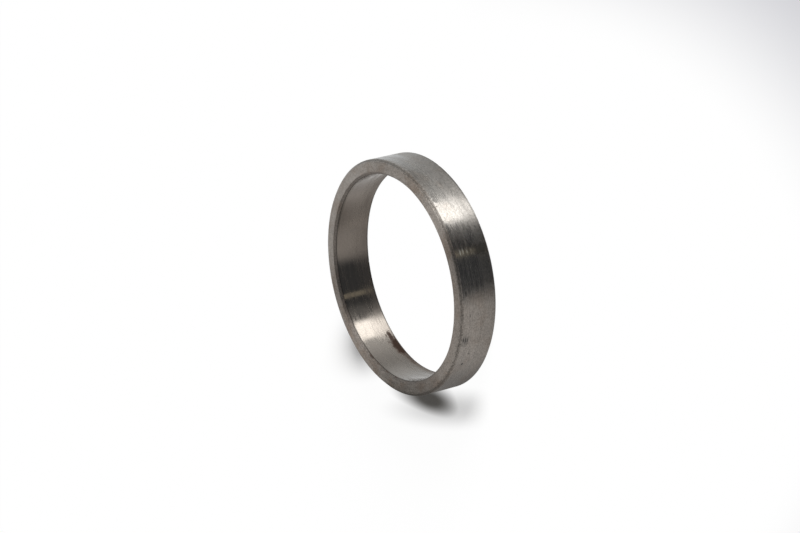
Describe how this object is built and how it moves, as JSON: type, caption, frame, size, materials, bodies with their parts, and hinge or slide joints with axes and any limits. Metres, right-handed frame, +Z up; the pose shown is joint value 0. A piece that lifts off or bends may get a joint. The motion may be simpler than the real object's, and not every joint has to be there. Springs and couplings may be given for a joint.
{
  "type": "seamless rolled ring forging",
  "caption": "Plain seamless rolled steel ring, turned all over, with a chamfer on each of its outer and inner edges.",
  "frame": {"origin": "centre of the end face that the ring lies on", "axes": "+Z up along the ring's own axis; X and Y lie in the end face, and the ring is the same all round"},
  "size_m": [0.08, 0.08, 0.014],
  "materials": {
    "turned_steel": "turned steel, satin, lightly oiled, with a little rust in the bore"
  },
  "bodies": {
    "root": {"ring": "turned_steel"}
  },
  "joints": []
}
